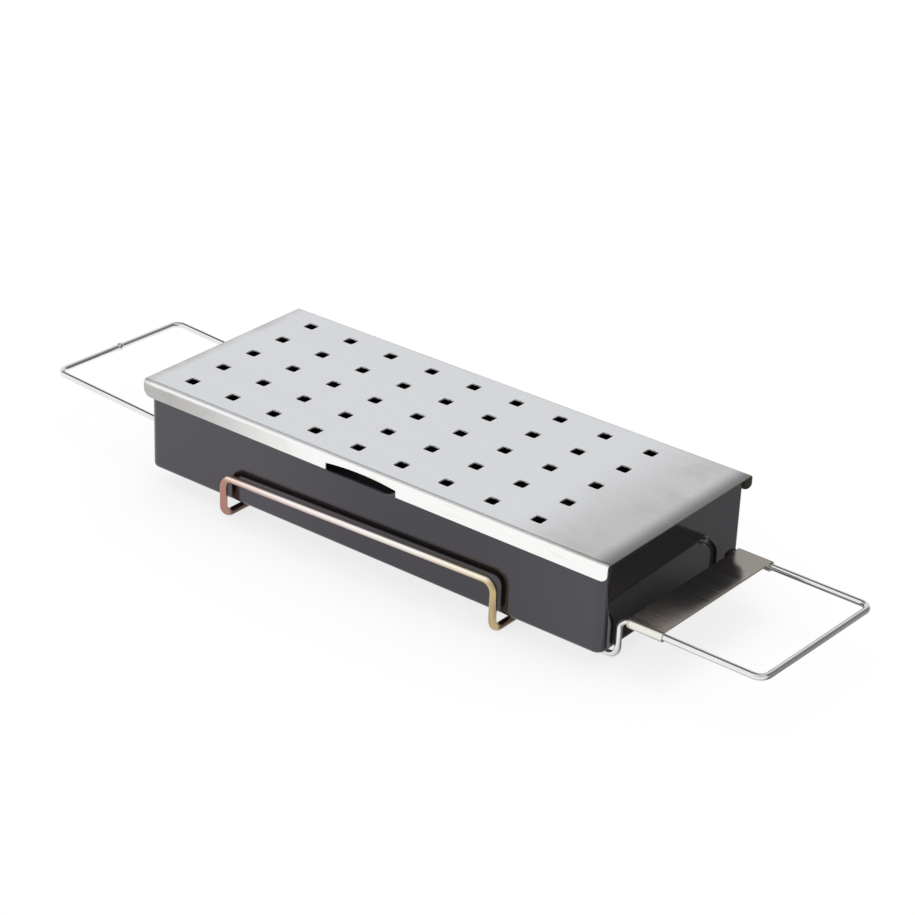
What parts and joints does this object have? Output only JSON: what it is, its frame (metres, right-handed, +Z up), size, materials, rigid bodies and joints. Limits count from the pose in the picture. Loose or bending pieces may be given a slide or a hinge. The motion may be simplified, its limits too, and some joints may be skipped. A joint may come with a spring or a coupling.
{
  "type": "smoker box",
  "caption": "Long enamelled steel tray for wood chips with a loose perforated sheet lid, carried in a welded wire cradle with looped handles and a grip plate.",
  "frame": {"origin": "centre of the overall box in plan, on the plane that the cross wires stand on", "axes": "+X along the length towards the handle with the grip plate, +Y across towards the back rail, +Z up"},
  "size_m": [0.4168, 0.1197, 0.0537],
  "materials": {
    "tray_enamel": "gloss black enamel",
    "lid_sheet": "brushed along its length",
    "handle_wire": "bright chromed wire",
    "rail_wire": "chromed wire with a warm tint",
    "plate_sheet": "brushed along the handle",
    "weld_metal": "chromed over weld beads"
  },
  "bodies": {
    "cradle": {"handle_loop": "handle_wire", "rail_loop": "rail_wire", "grip_plate": "plate_sheet", "cross_welds": "weld_metal", "handle_loop_weld": "weld_metal", "rail_loop_weld": "weld_metal"},
    "tray": {"tray": "tray_enamel"},
    "lid": {"lid": "lid_sheet"}
  },
  "joints": [
    {"name": "tray_lift", "type": "slide", "parent": "cradle", "child": "tray", "axis": [0, 0, 1], "range_m": [0, 0.06]},
    {"name": "lid_lift", "type": "slide", "parent": "tray", "child": "lid", "axis": [0, 0, 1], "range_m": [0, 0.05]}
  ]
}
